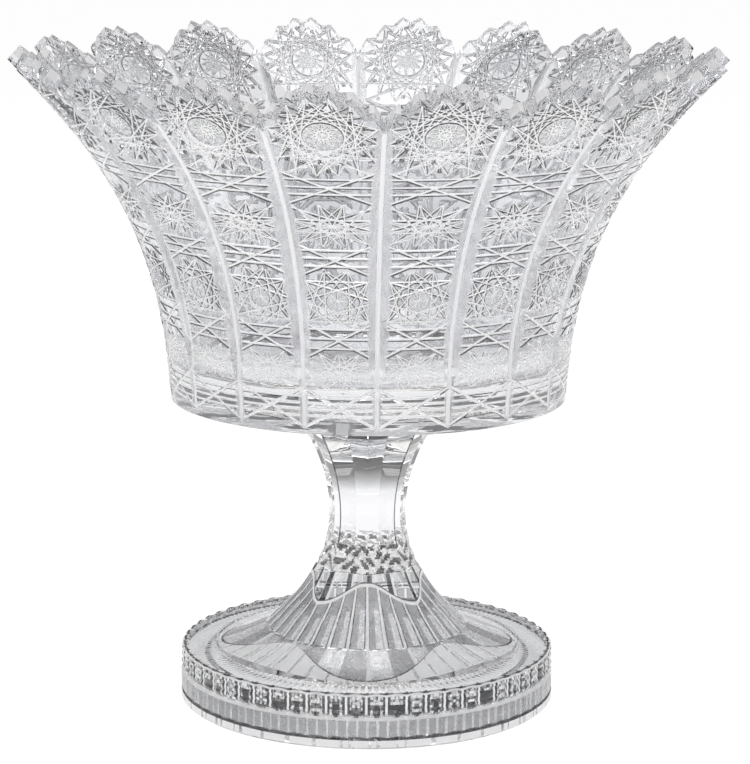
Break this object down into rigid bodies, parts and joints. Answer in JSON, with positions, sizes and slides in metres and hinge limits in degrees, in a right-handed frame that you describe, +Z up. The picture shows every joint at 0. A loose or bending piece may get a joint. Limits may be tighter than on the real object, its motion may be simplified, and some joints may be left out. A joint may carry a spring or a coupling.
{
  "type": "footed crystal bowl",
  "caption": "Flared bowl of cut crystal with a scalloped rim, bonded to an eight-sided stem on a round ribbed foot; open at the top for punch, fruit or flowers.",
  "frame": {"origin": "centre of the foot's underside, on the surface that the bowl stands on", "axes": "+Z up along the bowl's axis; -Y is the front, faced by a corner of the stem and one upright groove of the bowl"},
  "size_m": [0.3048, 0.3024, 0.2836],
  "materials": {
    "crystal_bowl": "cut and polished lead crystal",
    "crystal_stem": "polished lead crystal, faceted",
    "crystal_foot": "polished lead crystal, ribbed and fluted",
    "bond": "clear cured adhesive"
  },
  "bodies": {
    "root": {"bowl": "crystal_bowl", "bowl_bond_film": "bond", "stem": "crystal_stem", "foot_bond_film": "bond", "foot": "crystal_foot"}
  },
  "joints": []
}
